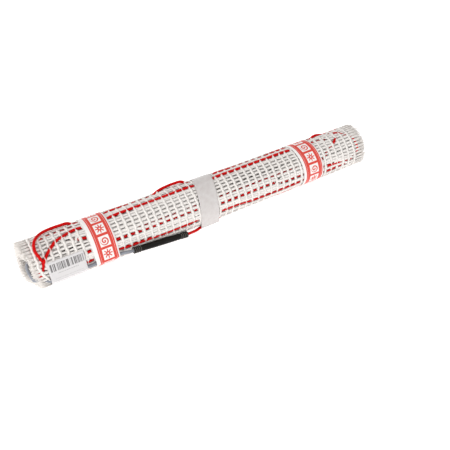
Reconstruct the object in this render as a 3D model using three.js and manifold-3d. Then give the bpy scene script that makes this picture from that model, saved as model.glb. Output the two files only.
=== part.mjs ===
// Underfloor heating mat, rolled up for sale. A glass fibre mesh carries a heating cable and is wound
// on itself. Three tapes hold the roll. The joint sleeve lies outside, with the cable's tail on one
// side and the cold lead on the other, which runs below a label into the roll's bore.
// Millimetres. X runs along the roll, Y away from the side that is seen, Z up. The floor is z = 0.

import * as THREE from 'three';
import { mergeVertices } from 'three/addons/utils/BufferGeometryUtils.js';
import Module from 'manifold-3d';

const wasm = await Module();
wasm.setup();

// The roll. It is wound tighter at its right end than at its left one.
const rollLength = 500;
const rollDiameter = 62.5;
const endDifference = 8.3;
const boreDiameter = 32;
const rollSides = 36;

// The turns that show on its ends, as ridges with gaps between them.
const turnsShown = 6;
const turnGap = 1;
const turnDepth = 6;

// Between two pieces that touch.
const clearance = 0.3;

// The tapes. A tape's middle moves along X by its skew for each millimetre of Y.
const tapeThickness = 0.4;
const leftTape = { name: 'tape_left', x: -151, width: 32, skew: 0 };
const middleTape = { name: 'tape_middle', x: 5, width: 27, skew: 0.229 };
const rightTape = { name: 'tape_right', x: 160.5, width: 32, skew: -0.09 };
const waistMargin = 2;
const waistSlope = 1.5;

// The label, from its upper edge to its lower one. Angles go round the roll in degrees from the far
// side, over the top, to the near side at 180 and the bottom at 270.
const labelX = -203;
const labelWidth = 48;
const labelThickness = 0.3;
const labelFrom = 145;
const labelTo = 235;

// The cords. A lift is a height above the roll's surface.
const cableDiameter = 3.8;
const leadDiameter = 4.8;
const cordSides = 8;
const leadAngle = 187.5;
const leadLift = 1.6;
const tailAngle = 221;
const tailLift = 1;

// The joint sleeve, laid askew across the roll.
const sleeveLength = 80;
const sleeveDiameter = 8;
const sleeveX = -78;
const sleeveAngle = 196;
const sleeveSkew = 10;
const sleeveSides = 12;
const socketDepth = 6;
const ribsEachEnd = 4;
const ribWidth = 1.4;
const ribGap = 1.2;
const ribDepth = 0.6;

const radians = THREE.MathUtils.degToRad;
const rollRadius = rollDiameter / 2;
const boreRadius = boreDiameter / 2;
const facet = 360 / rollSides;
const toCorner = 1 / Math.cos(radians(facet / 2));
const cornerRise = rollRadius * (toCorner - 1);

function radiusAt(x) {
  return (rollDiameter - endDifference * x / rollLength) / 2;
}

// A point above the roll's surface. The roll lies on its lowest line, which is level.
function onRoll(x, angle, lift) {
  const reach = radiusAt(x) + lift;
  const turn = radians(angle);
  return new THREE.Vector3(x, reach * Math.cos(turn), radiusAt(x) + reach * Math.sin(turn));
}

// A point by its place beside the roll's axis.
function inBore(x, beside, above) {
  return new THREE.Vector3(x, beside, radiusAt(x) + above);
}

// Lays a piece that was made round the X axis, for a straight roll of one radius, on the tapered one.
function settle(geometry, madeFor) {
  const position = geometry.attributes.position;
  for (let i = 0; i < position.count; i += 1) {
    const x = position.getX(i);
    const scale = radiusAt(x) / madeFor;
    position.setXYZ(i, x, position.getY(i) * scale, radiusAt(x) + position.getZ(i) * scale);
  }
  return geometry;
}

// Cutting one solid by others.
function solid(geometry) {
  geometry.deleteAttribute('normal');
  geometry.deleteAttribute('uv');
  const merged = mergeVertices(geometry);
  return new wasm.Manifold(new wasm.Mesh({
    numProp: 3,
    vertProperties: new Float32Array(merged.attributes.position.array),
    triVerts: new Uint32Array(merged.index.array),
  }));
}

function cut(geometry, tools) {
  let result = solid(geometry);
  for (const tool of tools) {
    result = result.subtract(solid(tool));
  }
  const mesh = result.getMesh();
  const output = new THREE.BufferGeometry();
  output.setAttribute('position', new THREE.BufferAttribute(mesh.vertProperties, 3));
  output.setIndex(new THREE.BufferAttribute(mesh.triVerts, 1));
  output.computeVertexNormals();
  return output;
}

function material(color, roughness) {
  return new THREE.MeshStandardMaterial({ color, roughness, metalness: 0 });
}

function named(name, geometry, finish) {
  const mesh = new THREE.Mesh(geometry, finish);
  mesh.name = name;
  return mesh;
}

// Cords. A route's steps are its points, so its straight stretches have few.
class Route extends THREE.CatmullRomCurve3 {
  getPointAt(share, target) {
    return this.getPoint(share, target);
  }

  getTangentAt(share, target) {
    return this.getTangent(share, target);
  }
}

function cord(points, radius) {
  const section = [];
  for (let i = 0; i < cordSides; i += 1) {
    const turn = 2 * Math.PI * i / cordSides;
    section.push(new THREE.Vector2(radius * Math.cos(turn), radius * Math.sin(turn)));
  }
  return new THREE.ExtrudeGeometry(new THREE.Shape(section), {
    extrudePath: new Route(points),
    steps: points.length - 1,
  });
}

// Sheets drawn tight round the faceted roll, and over one cord that lies on it.
function tapeMiddle(tape, angle) {
  return tape.x + tape.skew * radiusAt(tape.x) * Math.cos(radians(angle));
}

function polar(radius, angle) {
  const turn = radians(angle);
  return new THREE.Vector2(radius * Math.cos(turn), radius * Math.sin(turn));
}

function onFacet(radius, angle) {
  const offFacet = angle - Math.round(angle / facet) * facet;
  return polar(radius / Math.cos(radians(offFacet)), angle);
}

function wrapOutline(radius, over, from, to) {
  const arcSteps = 6;
  let spread = 0;
  if (over) {
    spread = THREE.MathUtils.radToDeg(Math.acos((radius - over.radius) / over.distance));
  }
  const lifted = (angle) => over && Math.abs(angle - over.angle) <= spread;
  const outline = [onFacet(radius, from)];
  let draped = false;
  for (let angle = from + facet; angle < to + facet / 2; angle += facet) {
    if (!lifted(angle)) {
      outline.push(onFacet(radius, angle));
    } else if (!draped) {
      draped = true;
      outline.push(onFacet(radius, over.angle - spread));
      for (let i = 0; i <= arcSteps; i += 1) {
        const lean = over.angle + spread * (2 * i / arcSteps - 1);
        outline.push(polar(over.distance, over.angle).add(polar(over.radius, lean)));
      }
      outline.push(onFacet(radius, over.angle + spread));
    }
  }
  return outline;
}

// Stands a drawing of the roll's section up across the X axis, with its depth along X.
function acrossRoll(shape, x, width) {
  const geometry = new THREE.ExtrudeGeometry(shape, { depth: width, bevelEnabled: false });
  const alongY = new THREE.Vector3(0, 1, 0);
  const alongZ = new THREE.Vector3(0, 0, 1);
  const alongX = new THREE.Vector3(1, 0, 0);
  geometry.applyMatrix4(new THREE.Matrix4().makeBasis(alongY, alongZ, alongX));
  geometry.translate(x - width / 2, 0, 0);
  return geometry;
}

function tapeGeometry(tape, cordBelow) {
  const radius = radiusAt(tape.x);
  const from = facet / 2;
  const sheet = (inset) => {
    const over = cordBelow && {
      angle: cordBelow.angle,
      distance: radius + cordBelow.lift,
      radius: cordBelow.radius + clearance + tapeThickness - inset,
    };
    return wrapOutline(radius - inset, over, from, from + 360).slice(0, -1);
  };
  const shape = new THREE.Shape(sheet(0));
  shape.holes.push(new THREE.Path(sheet(tapeThickness)));
  const geometry = acrossRoll(shape, tape.x, tape.width);
  geometry.applyMatrix4(new THREE.Matrix4().makeShear(0, 0, tape.skew, 0, 0, 0));
  return settle(geometry, radius);
}

function labelGeometry() {
  const radius = radiusAt(labelX);
  const sheet = (rise) => {
    const over = { angle: leadAngle, distance: radius + leadLift, radius: leadDiameter / 2 + rise };
    return wrapOutline(radius + rise, over, labelFrom, labelTo);
  };
  const outside = sheet(clearance + labelThickness);
  const inside = sheet(clearance).reverse();
  return settle(acrossRoll(new THREE.Shape([...outside, ...inside]), labelX, labelWidth), radius);
}

// The joint sleeve, with a socket and ribs at each end.
function sleeveGeometry() {
  const radius = sleeveDiameter / 2;
  const half = sleeveLength / 2;
  const halfProfile = (socketRadius) => {
    const points = [[0, half - socketDepth], [socketRadius, half - socketDepth], [socketRadius, half]];
    for (let i = 0; i < ribsEachEnd; i += 1) {
      const ribEnd = half - i * (ribWidth + ribGap);
      points.push([radius, ribEnd], [radius, ribEnd - ribWidth]);
      points.push([radius - ribDepth, ribEnd - ribWidth], [radius - ribDepth, ribEnd - ribWidth - ribGap]);
    }
    const ribsEnd = half - ribsEachEnd * (ribWidth + ribGap);
    points.push([radius, ribsEnd]);
    return points;
  };
  const upper = halfProfile(cableDiameter / 2 + clearance);
  const lower = halfProfile(leadDiameter / 2 + clearance).map(([r, y]) => [r, -y]);
  const profile = [...lower, ...upper.reverse()].map(([r, y]) => new THREE.Vector2(r, y));
  return new THREE.LatheGeometry(profile, sleeveSides);
}

function rollGeometry(grooves) {
  const half = rollLength / 2;
  const turn = (rollRadius - boreRadius - (turnsShown - 1) * turnGap) / turnsShown;
  const end = [];
  for (let i = 0; i < turnsShown; i += 1) {
    const outside = rollRadius - i * (turn + turnGap);
    const inside = outside - turn;
    end.push([outside, half], [inside, half]);
    if (i < turnsShown - 1) {
      end.push([inside, half - turnDepth], [inside - turnGap, half - turnDepth]);
    }
  }
  const side = [];
  for (const tape of [leftTape, middleTape, rightTape]) {
    const reach = tape.width / 2 + Math.abs(tape.skew) * radiusAt(tape.x) + waistMargin;
    const waist = rollRadius - tapeThickness - clearance;
    side.push([rollRadius, tape.x - reach - waistSlope], [waist, tape.x - reach]);
    side.push([waist, tape.x + reach], [rollRadius, tape.x + reach + waistSlope]);
  }
  const farEnd = end.map(([r, x]) => [r, -x]).reverse();
  const profile = [...farEnd, ...side, ...end, farEnd[0]];
  const outline = profile.map(([r, x]) => new THREE.Vector2(r * toCorner, x));
  const geometry = new THREE.LatheGeometry(outline, rollSides, radians(facet / 2));
  geometry.rotateZ(-Math.PI / 2);
  return cut(settle(geometry, rollRadius), grooves);
}

// Where the sleeve lies, and points on its axis beyond its right end (1) or its left one (-1).
const sleeveLift = sleeveDiameter / 2 + clearance + cornerRise;
const sleeveMiddle = onRoll(sleeveX, sleeveAngle, sleeveLift);
const alongRoll = onRoll(sleeveX + 1, sleeveAngle, sleeveLift).sub(sleeveMiddle).normalize();
const roundRoll = onRoll(sleeveX, sleeveAngle + 1, sleeveLift).sub(sleeveMiddle).normalize();
const sleeveAxis = alongRoll.multiplyScalar(Math.cos(radians(sleeveSkew)))
  .addScaledVector(roundRoll, Math.sin(radians(sleeveSkew))).normalize();

function offSleeve(end, beyond) {
  return sleeveMiddle.clone().addScaledVector(sleeveAxis, end * (sleeveLength / 2 + beyond));
}

// The lifts of the cable's axis: sunk in the mesh, sunk below a tape, and lying on the mesh.
const flush = -cableDiameter / 2;
const under = flush - tapeThickness - clearance;
const onTop = cableDiameter / 2 + clearance + cornerRise;
const dipSlope = 6;
const dipMargin = 2;

// The cable's dip below a tape, on its way to the right (1) or to the left (-1).
function dip(tape, angle, heading) {
  const near = tape.width / 2 + dipMargin;
  const stations = [[-near - dipSlope, flush], [-near, under], [near, under], [near + dipSlope, flush]];
  return stations.map(([along, lift]) => onRoll(tapeMiddle(tape, angle) + heading * along, angle, lift));
}

// The cable, from the sleeve to the right along the near side, back to the left, round the left end
// in a loop that stands on the mesh, and to the right again along the top.
const tailMiddle = tapeMiddle(middleTape, tailAngle);
const tailReach = middleTape.width / 2 + dipMargin;
const cablePoints = [
  offSleeve(1, clearance - socketDepth),
  offSleeve(1, 0),
  offSleeve(1, 3),
  onRoll(-28, 213, 3.8),
  onRoll(-21, 218, 2),
  onRoll(tailMiddle - tailReach, tailAngle, tailLift),
  onRoll(tailMiddle, tailAngle, tailLift),
  onRoll(tailMiddle + tailReach, tailAngle, tailLift),
  onRoll(28, 224, flush),
  onRoll(60, 225, flush),
  ...dip(rightTape, 225, 1),
  onRoll(222, 225, flush),
  onRoll(230, 222, flush),
  onRoll(235, 214.5, flush),
  onRoll(236.5, 206.5, flush),
  onRoll(235, 198.5, flush),
  onRoll(230, 191, flush),
  onRoll(222, 188, flush),
  onRoll(205, 188, flush),
  ...dip(rightTape, 189, -1),
  onRoll(100, 189, flush),
  onRoll(64, 188, flush),
  onRoll(44, 183, flush),
  ...dip(middleTape, 182, -1),
  onRoll(-61, 183, flush),
  onRoll(-100, 181, flush),
  ...dip(leftTape, 178, -1),
  onRoll(-200, 178, flush),
  onRoll(-222, 177, flush),
  onRoll(-231, 173, flush),
  onRoll(-236, 165, flush),
  onRoll(-236, 155, flush),
  onRoll(-232, 145, flush),
  onRoll(-230.5, 135, flush / 2),
  onRoll(-232, 126, onTop),
  onRoll(-234, 112, onTop),
  onRoll(-232.5, 100, onTop),
  onRoll(-229, 88, onTop),
  onRoll(-223, 77, onTop),
  onRoll(-215, 68, onTop),
  onRoll(-204, 63, onTop),
  onRoll(-192, 63, onTop),
  onRoll(-184, 65, 0),
  ...dip(leftTape, 66, 1),
  onRoll(-100, 64, flush),
  onRoll(-66, 62, flush),
  onRoll(-58, 61, 0),
  onRoll(-50, 60, onTop),
  onRoll(-40, 59, onTop + 0.8),
  onRoll(-30, 60, onTop + 0.8),
  onRoll(-20, 62, 1),
  ...dip(middleTape, 63, 1),
  onRoll(60, 64, flush),
  onRoll(100, 64, flush),
  ...dip(rightTape, 62, 1),
  onRoll(190, 61, 0.8),
  onRoll(198, 60, 1.6),
  onRoll(207, 59, 0),
  onRoll(217, 57, flush),
  onRoll(227, 54, flush),
  onRoll(234, 47, flush),
  onRoll(236, 38, flush),
  onRoll(234, 30, flush),
];

// The cold lead, from the sleeve to the left below the tape and the label, into the bore, and there
// to the right end, back, and to the right end again.
const upperRun = new THREE.Vector2(8, 8);
const nearRun = new THREE.Vector2(-11, 0);
const lowerRun = new THREE.Vector2(-1.5, -11.8);
const firstTurnX = 222;
const secondTurnX = -215;
const leadEndX = 238;

function fold(x, from, to, heading) {
  const steps = 6;
  const middle = from.clone().add(to).multiplyScalar(0.5);
  const reach = from.clone().sub(middle);
  const points = [];
  for (let i = 0; i <= steps; i += 1) {
    const turn = Math.PI * i / steps;
    const across = middle.clone().addScaledVector(reach, Math.cos(turn));
    points.push(inBore(x + heading * reach.length() * Math.sin(turn), across.x, across.y));
  }
  return points;
}

const leadPoints = [
  offSleeve(-1, clearance - socketDepth),
  offSleeve(-1, 0),
  offSleeve(-1, 4),
  onRoll(leftTape.x + leftTape.width / 2 + dipMargin, leadAngle, leadLift),
  onRoll(leftTape.x - leftTape.width / 2 - dipMargin, leadAngle, leadLift),
  onRoll(labelX, leadAngle, leadLift),
  onRoll(labelX - labelWidth / 2 - dipMargin, leadAngle, leadLift),
  onRoll(-236, 188.5, 0),
  onRoll(-242, 192, -3.8),
  onRoll(-246, 198, -9),
  inBore(-248, -16, -9),
  inBore(-249, -9.5, -2.5),
  inBore(-248.5, -4, 3),
  inBore(-245, 0.5, 7),
  inBore(-238, 4.5, 8.5),
  inBore(-228, 7.5, 8.3),
  inBore(-210, upperRun.x, upperRun.y),
  ...fold(firstTurnX, upperRun, nearRun, 1),
  ...fold(secondTurnX, nearRun, lowerRun, -1),
  inBore(leadEndX, lowerRun.x, lowerRun.y),
];

// The hollow that a cord lies in, a little longer than the cord.
function groove(points, diameter) {
  const last = points[points.length - 1];
  const heading = last.clone().sub(points[points.length - 2]).normalize();
  return cord([...points, last.clone().addScaledVector(heading, clearance)], diameter / 2 + clearance);
}

const meshFinish = material(0xdedbd2, 0.9);
const cableFinish = material(0xb80a08, 0.45);
const sleeveFinish = material(0x1c1a18, 0.5);
const leadFinish = material(0x9aa0a8, 0.5);
const tapeFinish = material(0xd8503f, 0.4);
const clearTapeFinish = material(0xe4e2de, 0.3);
const labelFinish = material(0xf2f2ee, 0.7);

const grooves = [groove(cablePoints, cableDiameter), groove(leadPoints, leadDiameter)];
const leadBelow = { angle: leadAngle, lift: leadLift, radius: leadDiameter / 2 };
const tailBelow = { angle: tailAngle, lift: tailLift, radius: cableDiameter / 2 };

const sleeve = named('joint_sleeve', sleeveGeometry(), sleeveFinish);
sleeve.position.copy(sleeveMiddle);
sleeve.quaternion.setFromUnitVectors(new THREE.Vector3(0, 1, 0), sleeveAxis);

const mat = new THREE.Group();
mat.add(
  named('mesh_roll', rollGeometry(grooves), meshFinish),
  named('heating_cable', cord(cablePoints, cableDiameter / 2), cableFinish),
  named('cold_lead', cord(leadPoints, leadDiameter / 2), leadFinish),
  sleeve,
  named(leftTape.name, tapeGeometry(leftTape, leadBelow), tapeFinish),
  named(middleTape.name, tapeGeometry(middleTape, tailBelow), clearTapeFinish),
  named(rightTape.name, tapeGeometry(rightTape, null), tapeFinish),
  named('label', labelGeometry(), labelFinish),
);

export default mat;
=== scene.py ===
# Underfloor heating mat, rolled up for sale: the looks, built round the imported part.
# Lengths are in millimetres and angles in degrees until a mesh is made. Angles go round the roll
# from its far side, over the top (90), to the near side (180) and the bottom (270).

import math
import bpy
import numpy as np
from mathutils import Matrix, Vector
from mathutils.kdtree import KDTree


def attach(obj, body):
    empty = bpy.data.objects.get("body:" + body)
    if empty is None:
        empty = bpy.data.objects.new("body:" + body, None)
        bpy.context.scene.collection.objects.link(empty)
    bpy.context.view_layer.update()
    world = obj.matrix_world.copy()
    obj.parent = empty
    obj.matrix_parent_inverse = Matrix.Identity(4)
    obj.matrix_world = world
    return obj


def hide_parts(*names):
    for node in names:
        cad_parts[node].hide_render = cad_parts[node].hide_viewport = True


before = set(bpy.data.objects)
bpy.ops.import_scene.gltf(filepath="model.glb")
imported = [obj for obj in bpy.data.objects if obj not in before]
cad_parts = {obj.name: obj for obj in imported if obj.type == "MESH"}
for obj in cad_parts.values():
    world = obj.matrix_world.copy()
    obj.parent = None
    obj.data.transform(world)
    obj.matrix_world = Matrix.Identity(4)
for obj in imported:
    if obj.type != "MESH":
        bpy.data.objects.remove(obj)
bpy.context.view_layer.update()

MM = 0.001
rng = np.random.default_rng(7)

# The roll, as in the part's source: its length, its diameter in the middle, how much wider the
# left end is than the right one, and its bore.
ROLL_LENGTH = 500.0
ROLL_DIAMETER = 62.5
END_DIFFERENCE = 8.3
BORE_RADIUS = 16.0

# The mesh: axial yarns (wefts) and pairs of yarns round the roll (warps). It is wound inwards from
# its free edge.
FREE_EDGE = 228.0
OUTER_LIFT = -0.35
TURN_PITCH = 1.2
FULL_TURNS = 4
WARP_PITCH = 10.0
WARP_X = 3.4
WARPS_EACH_WAY = 24
WEFTS_A_TURN = 39
WEFT_WIDTH = 4.2
WEFT_PINCH = 3.6
WEFT_HEIGHT = 0.5
WARP_WIDTH = 3.9
WARP_HEIGHT = 0.55
WARP_SWING = 0.45

# Shares of a yarn's width: axial yarns of the inner turns, in an open row and over a deeper cable,
# and a yarn of the roll's turn over a cable.
INNER_WEFT = 0.6
OPEN_WEFT = 0.6
THIN_WEFT = 0.6
OVER_CABLE = 0.22

CABLE_RADIUS = 1.9
LEAD_RADIUS = 2.15


def radius_at(x):
    """The tapered roll's radius."""
    return (ROLL_DIAMETER - END_DIFFERENCE * x / ROLL_LENGTH) / 2


def outward(angle):
    """The direction away from the roll's axis."""
    turn = np.radians(angle)
    return np.stack([np.zeros_like(turn), np.cos(turn), np.sin(turn)], -1)


def on_roll(x, angle, lift):
    """The point at lift above the roll's surface."""
    x, angle, lift = np.broadcast_arrays(*(np.asarray(v, float) for v in (x, angle, lift)))
    middle = np.stack([x, np.zeros_like(x), radius_at(x)], -1)
    return middle + outward(angle) * (radius_at(x) + lift)[..., None]


def in_bore(x, beside, above):
    """The point beside and above the roll's axis."""
    return np.array([x, beside, radius_at(x) + above])


# Camera, floor and light

# The camera, fitted to the roll's outlines and the tapes' edges in the photograph. The fitted point
# stands to the left of and above the picture's middle.
CAMERA_ELEVATION, CAMERA_AZIMUTH = 44.87, 29.556
CAMERA_LENS, CAMERA_DISTANCE = 65.813, 1109.534
FITTED_POINT, MIDDLE_RIGHT, MIDDLE_DOWN = (4, 0, 31.222), 29.149, 34.306


def look_at_roll():
    elevation, azimuth = math.radians(CAMERA_ELEVATION), math.radians(CAMERA_AZIMUTH)
    right = Vector((math.cos(azimuth), -math.sin(azimuth), 0))
    level = Vector((math.sin(azimuth), math.cos(azimuth), 0))
    forward = level * math.cos(elevation) - Vector((0, 0, math.sin(elevation)))
    up = level * math.sin(elevation) + Vector((0, 0, math.cos(elevation)))
    target = Vector(FITTED_POINT) + right * MIDDLE_RIGHT - up * MIDDLE_DOWN
    camera = bpy.data.cameras.new("camera")
    camera.lens = CAMERA_LENS
    camera.sensor_width = 36
    camera.clip_start, camera.clip_end = 0.01, 20
    eye = bpy.data.objects.new("camera", camera)
    bpy.context.scene.collection.objects.link(eye)
    turn = Matrix((right, up, -forward)).transposed().to_4x4()
    eye.matrix_world = Matrix.Translation((target - forward * CAMERA_DISTANCE) * MM) @ turn
    bpy.context.scene.camera = eye


# Name, place in metres, size and power of each soft light.
LIGHTS = (("key", (-0.5, -1.0, 1.6), 1.2, 9.0), ("fill", (1.2, -0.6, 1.2), 1.2, 4.4),
          ("side", (-1.6, 0.0, 0.5), 1.0, 13.0))
SKY_STRENGTH = 0.70
FLOOR_SIZE, FLOOR_WHITE, FLOOR_GLOW = 12, (0.96, 0.96, 0.96), 0.55


def light(name, place, size, power):
    """A square light that faces the roll."""
    lamp = bpy.data.lights.new(name, "AREA")
    lamp.size = size
    lamp.energy = power
    item = bpy.data.objects.new(name, lamp)
    item.location = place
    item.rotation_euler = (-Vector(place)).to_track_quat("-Z", "Y").to_euler()
    bpy.context.scene.collection.objects.link(item)


def studio():
    """A pale floor under a white sky and three soft lights."""
    world = bpy.data.worlds.new("studio")
    bpy.context.scene.world = world
    world.use_nodes = True
    sky = world.node_tree.nodes["Background"]
    sky.inputs["Color"].default_value = (1, 1, 1, 1)
    sky.inputs["Strength"].default_value = SKY_STRENGTH
    for spec in LIGHTS:
        light(*spec)
    bpy.context.scene.view_settings.view_transform = "Standard"
    bpy.ops.mesh.primitive_plane_add(size=FLOOR_SIZE)
    floor = bpy.context.object
    floor.name = "floor"
    paint = bpy.data.materials.new("floor")
    paint.use_nodes = True
    shader = paint.node_tree.nodes["Principled BSDF"]
    shader.inputs["Base Color"].default_value = (*FLOOR_WHITE, 1)
    shader.inputs["Roughness"].default_value = 0.9
    shader.inputs["Emission Color"].default_value = (1, 1, 1, 1)
    shader.inputs["Emission Strength"].default_value = FLOOR_GLOW
    floor.data.materials.append(paint)


look_at_roll()
studio()


# Making meshes

def build(name, vertices, face_groups, paint, replaces=(), attributes=None):
    """A piece from points in millimetres and groups of faces with equally many corners."""
    mesh = bpy.data.meshes.new(name)
    points = np.asarray(vertices, float).reshape(-1, 3) * MM
    corners = np.concatenate([np.asarray(g).ravel() for g in face_groups])
    sizes = np.concatenate([np.full(len(g), np.asarray(g).shape[1]) for g in face_groups])
    mesh.vertices.add(len(points))
    mesh.vertices.foreach_set("co", points.ravel())
    mesh.loops.add(len(corners))
    mesh.loops.foreach_set("vertex_index", corners.astype(np.int32))
    mesh.polygons.add(len(sizes))
    mesh.polygons.foreach_set("loop_start", (np.cumsum(sizes) - sizes).astype(np.int32))
    mesh.update(calc_edges=True)
    mesh.shade_smooth()
    for key, values in (attributes or {}).items():
        data = mesh.attributes.new(key, "FLOAT_VECTOR", "POINT")
        data.data.foreach_set("vector", np.asarray(values, float).ravel())
    mesh.materials.append(paint)
    piece = bpy.data.objects.new(name, mesh)
    bpy.context.scene.collection.objects.link(piece)
    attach(piece, "root")
    if replaces:
        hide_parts(*replaces)
    return piece


def unit(vectors):
    """The vectors at length 1."""
    return vectors / np.maximum(np.linalg.norm(vectors, axis=-1, keepdims=True), 1e-9)


class Strands:
    """Many yarns or tubes gathered into one mesh, each with its fibre coordinates."""

    def __init__(self):
        self.vertices, self.faces, self.caps, self.fibre = [], [], [], []
        self.count = 0

    def add(self, paths, out, half_width, half_height, section):
        """paths (n, stations, 3) of the strands' middles; out, which way their upper side faces."""
        paths = np.asarray(paths, float)
        n, stations, _ = paths.shape
        along = unit(np.gradient(paths, axis=1))
        side = unit(np.cross(along, out))
        up = np.cross(side, along)
        half_width = np.broadcast_to(half_width, (n, stations))[..., None, None]
        half_height = np.broadcast_to(half_height, (n, stations))[..., None, None]
        beside = section[:, 0, None] * half_width
        above = section[:, 1, None] * half_height
        ring = paths[:, :, None] + side[:, :, None] * beside + up[:, :, None] * above
        steps = np.linalg.norm(np.diff(paths, axis=1), axis=-1)
        run = np.concatenate([np.zeros((n, 1)), np.cumsum(steps, axis=1)], axis=1)
        sides = len(section)
        shape = (n, stations, sides)
        key = rng.random((n, 1)) * 100
        fibre = np.stack([
            np.broadcast_to(run[:, :, None], shape),
            np.broadcast_to(beside[..., 0], shape) + 0.7 * np.broadcast_to(above[..., 0], shape),
            np.broadcast_to(key[:, :, None], shape),
        ], -1)
        index = np.arange(n * stations * sides).reshape(shape) + self.count
        a, b = index[:, :-1], index[:, 1:]
        quads = np.stack([a, b, np.roll(b, -1, 2), np.roll(a, -1, 2)], -1).reshape(-1, 4)
        self.vertices.append(ring.reshape(-1, 3))
        self.fibre.append(fibre.reshape(-1, 3))
        self.faces.append(quads)
        self.caps += [index[:, 0], index[:, -1, ::-1]]
        self.count += n * stations * sides

    def build(self, name, paint, slot, replaces=(), floor=None):
        """One piece of all the strands, none of it below the height floor where that is given."""
        points = np.concatenate(self.vertices)
        if floor is not None:
            points[:, 2] = np.maximum(points[:, 2], floor)
        return build(name, points, self.faces + self.caps, paint, replaces,
                     {"fibre": np.concatenate(self.fibre)})


def round_section(sides):
    turn = np.arange(sides) * 2 * np.pi / sides
    return np.stack([np.cos(turn), np.sin(turn)], -1)


# A flat yarn's section.
LENS = np.array([[1, 0], [0, 1], [-1, 0], [0, -1]], float)


def route(points, spacing=2.5):
    """A smooth curve through the points, without loops, as the part's source draws it."""
    p = np.array([np.asarray(q, float) for q in points])
    p = np.vstack([2 * p[0] - p[1], p, 2 * p[-1] - p[-2]])
    out = []
    for p0, p1, p2, p3 in zip(p[:-3], p[1:-2], p[2:-1], p[3:]):
        d0, d1, d2 = (max(np.linalg.norm(b - a) ** 0.5, 1e-3)
                      for a, b in ((p0, p1), (p1, p2), (p2, p3)))
        t1 = ((p1 - p0) / d0 - (p2 - p0) / (d0 + d1) + (p2 - p1) / d1) * d1
        t2 = ((p2 - p1) / d1 - (p3 - p1) / (d1 + d2) + (p3 - p2) / d2) * d1
        steps = max(1, int(math.ceil(np.linalg.norm(p2 - p1) / spacing)))
        t = (np.arange(steps) / steps)[:, None]
        bend, twist = 3 * (p2 - p1) - 2 * t1 - t2, 2 * (p1 - p2) + t1 + t2
        out.append(p1 + t1 * t + bend * t**2 + twist * t**3)
    return np.vstack(out + [p[-2][None]])


def carried_frame(path):
    """A direction square to the path at each point, carried along without twist."""
    along = unit(np.gradient(path, axis=0))
    start = np.cross(along[0], (0.0, 0.31, 0.95))
    ups = [unit(start)]
    for direction in along[1:]:
        last = ups[-1]
        ups.append(unit(last - direction * last.dot(direction)))
    return np.array(ups)


CORD_SIDES = 16


def tube(strands, points, radius):
    """Adds a round cord through the points, and gives its path."""
    path = route(points)
    strands.add(path[None], carried_frame(path)[None], radius, radius, round_section(CORD_SIDES))
    return path


# Materials

def material(name, colour, roughness, **sockets):
    """A new material, its nodes and its shader; sockets are further values of the shader."""
    made = bpy.data.materials.new(name)
    made.use_nodes = True
    shader = made.node_tree.nodes["Principled BSDF"]
    shader.inputs["Base Color"].default_value = (*colour, 1)
    shader.inputs["Roughness"].default_value = roughness
    for key, value in sockets.items():
        shader.inputs[key.replace("_", " ")].default_value = value
    return made, made.node_tree, shader


class Graph:
    """Short calls for the nodes of one material."""

    def __init__(self, tree):
        self.tree = tree

    def new(self, kind, **inputs):
        node = self.tree.nodes.new("ShaderNode" + kind)
        for key, value in inputs.items():
            self.feed(node.inputs[key.replace("_", " ")], value)
        return node

    def feed(self, socket, value):
        if isinstance(value, bpy.types.NodeSocket):
            self.tree.links.new(value, socket)
        else:
            socket.default_value = value

    def math(self, operation, *values, clamp=False):
        node = self.tree.nodes.new("ShaderNodeMath")
        node.operation = operation
        node.use_clamp = clamp
        for socket, value in zip(node.inputs, values):
            self.feed(socket, value)
        return node.outputs[0]

    def above(self, value, limit, soft=0.12):
        return self.math("MULTIPLY_ADD", value, 1 / soft, 0.5 - limit / soft, clamp=True)

    def below(self, value, limit, soft=0.12):
        return self.math("MULTIPLY_ADD", value, -1 / soft, 0.5 + limit / soft, clamp=True)

    def between(self, value, low, high, soft=0.12):
        return self.math("MULTIPLY", self.above(value, low, soft), self.below(value, high, soft))

    def both(self, a, b):
        return self.math("MULTIPLY", a, b)

    def either(self, a, b):
        return self.math("MAXIMUM", a, b)

    def noise(self, vector, scale, detail=2.0, dimensions="3D"):
        node = self.tree.nodes.new("ShaderNodeTexNoise")
        node.noise_dimensions = dimensions
        node.inputs["Scale"].default_value = scale
        node.inputs["Detail"].default_value = detail
        self.feed(node.inputs["W" if dimensions == "1D" else "Vector"], vector)
        return node.outputs["Fac"]

    def blend(self, share, a, b):
        node = self.tree.nodes.new("ShaderNodeMix")
        node.data_type = "RGBA"
        self.feed(node.inputs["Factor"], share)
        for key, value in (("A", a), ("B", b)):
            socket = [i for i in node.inputs if i.name == key and i.type == "RGBA"][0]
            self.feed(socket, value if isinstance(value, bpy.types.NodeSocket) else (*value, 1))
        return [o for o in node.outputs if o.type == "RGBA"][0]

    def ramp(self, value, positions, colours):
        node = self.new("ValToRGB", Fac=value)
        for element, position, colour in zip(node.color_ramp.elements, positions, colours):
            element.position = position
            element.color = (*colour, 1)
        return node.outputs["Color"]

    def stretched(self, vector, scale):
        node = self.tree.nodes.new("ShaderNodeVectorMath")
        node.operation = "MULTIPLY"
        self.feed(node.inputs[0], vector)
        node.inputs[1].default_value = scale
        return node.outputs[0]

    def bump(self, shader, height, strength, distance):
        node = self.new("Bump", Strength=strength, Distance=distance, Height=height)
        self.tree.links.new(node.outputs["Normal"], shader.inputs["Normal"])

    def read(self, attribute):
        """A mesh attribute as a vector, and its first two numbers."""
        node = self.tree.nodes.new("ShaderNodeAttribute")
        node.attribute_name = attribute
        split = self.new("SeparateXYZ", Vector=node.outputs["Vector"])
        return node.outputs["Vector"], split.outputs["X"], split.outputs["Y"]


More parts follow.
